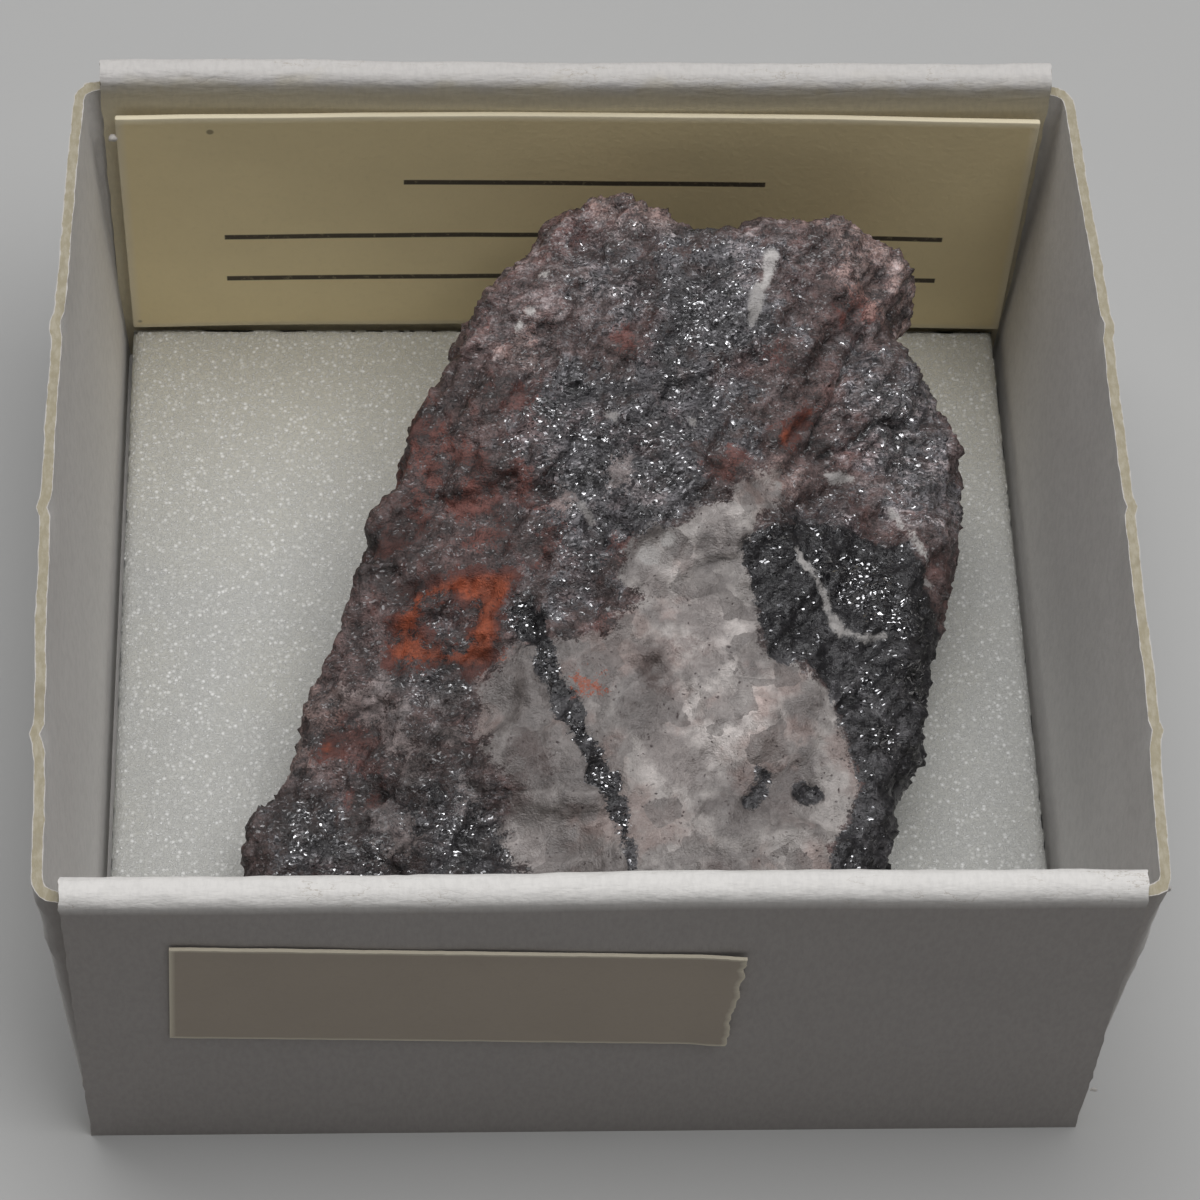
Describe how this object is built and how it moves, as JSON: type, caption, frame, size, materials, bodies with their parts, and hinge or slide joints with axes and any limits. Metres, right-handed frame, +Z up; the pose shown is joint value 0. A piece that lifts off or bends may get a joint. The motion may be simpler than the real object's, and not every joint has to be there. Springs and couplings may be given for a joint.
{
  "type": "boxed hematite mineral specimen",
  "caption": "Rough lump of dark hematite with a white quartz body, resting on foam in a small open card tray with a blank name card and a blank label.",
  "frame": {"origin": "bottom centre of the whole object, on the surface the card tray stands on", "axes": "+Z up, +X to the right along the front wall, -Y towards the front wall with the label"},
  "size_m": [0.0442, 0.0418, 0.0201],
  "materials": {
    "hematite": "rough broken rock, dark grey metallic glitter with red ochre and white quartz",
    "white_card": "matte white lined card with a grey-cream core at its cut edges",
    "white_foam": "fine-celled white foam with a faint sparkle",
    "cream_card": "matte cream card",
    "cream_paper": "matte cream paper label"
  },
  "bodies": {
    "root": {"hematite_stone": "hematite", "card_box": "white_card", "foam_pad": "white_foam", "name_card": "cream_card", "number_label": "cream_paper"}
  },
  "joints": []
}
